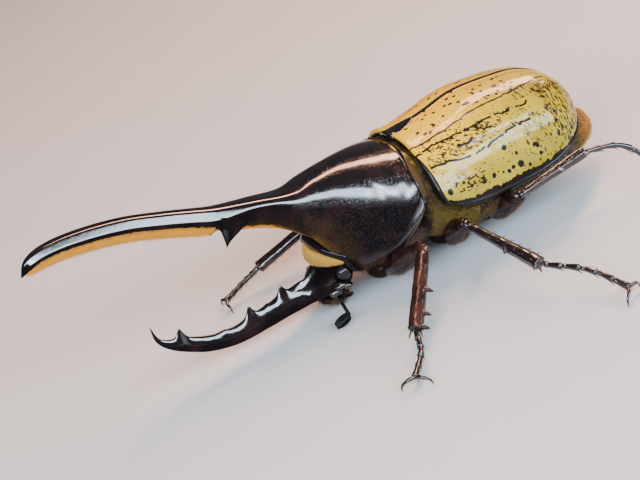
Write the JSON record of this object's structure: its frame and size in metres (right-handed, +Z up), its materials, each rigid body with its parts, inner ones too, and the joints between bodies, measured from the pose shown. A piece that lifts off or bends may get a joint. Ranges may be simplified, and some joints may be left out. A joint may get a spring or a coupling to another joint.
{
  "type": "rhinoceros beetle",
  "caption": "Life-size still model of a male long-horned rhinoceros beetle standing on its feet, with pincer-like horns, glossy black shield and spotted olive-yellow wing cases.",
  "frame": {"origin": "on the floor under the middle of the whole beetle", "axes": "+X to the beetle's left, +Y to its rear so that the horns point along -Y, +Z up"},
  "size_m": [0.1324, 0.1544, 0.0528],
  "materials": {
    "black_shell": "glossy black-brown cuticle, finely pitted",
    "brown_shell": "satin dark red-brown cuticle",
    "wing_case": "glossy olive-yellow cuticle with black spots and streaks",
    "horn_velvet": "dense short orange hair",
    "neck_brush": "dense golden hair",
    "flank": "brown skin under olive-yellow hair",
    "eye": "glossy black faceted eye"
  },
  "bodies": {
    "root": {"elytron_left": "wing_case", "elytron_right": "wing_case", "scutellum": "black_shell", "pronotum": "black_shell", "thoracic_horn": "black_shell", "horn_velvet": "horn_velvet", "neck_brush": "neck_brush", "prosternum": "brown_shell", "head": "black_shell", "cephalic_horn": "black_shell", "eye_left": "eye", "eye_right": "eye", "antenna_left": "brown_shell", "antenna_right": "brown_shell", "mouthparts": "brown_shell", "mesothorax": "flank", "metathorax": "flank", "abdomen": "brown_shell", "coxa_fore_left": "brown_shell", "femur_fore_left": "brown_shell", "tibia_fore_left": "black_shell", "tarsus_fore_left": "black_shell", "coxa_fore_right": "brown_shell", "femur_fore_right": "brown_shell", "tibia_fore_right": "black_shell", "tarsus_fore_right": "black_shell", "coxa_mid_left": "brown_shell", "femur_mid_left": "brown_shell", "tibia_mid_left": "black_shell", "tarsus_mid_left": "black_shell", "coxa_mid_right": "brown_shell", "femur_mid_right": "brown_shell", "tibia_mid_right": "black_shell", "tarsus_mid_right": "black_shell", "coxa_hind_left": "brown_shell", "femur_hind_left": "brown_shell", "tibia_hind_left": "black_shell", "tarsus_hind_left": "black_shell", "coxa_hind_right": "brown_shell", "femur_hind_right": "brown_shell", "tibia_hind_right": "black_shell", "tarsus_hind_right": "black_shell"}
  },
  "joints": []
}
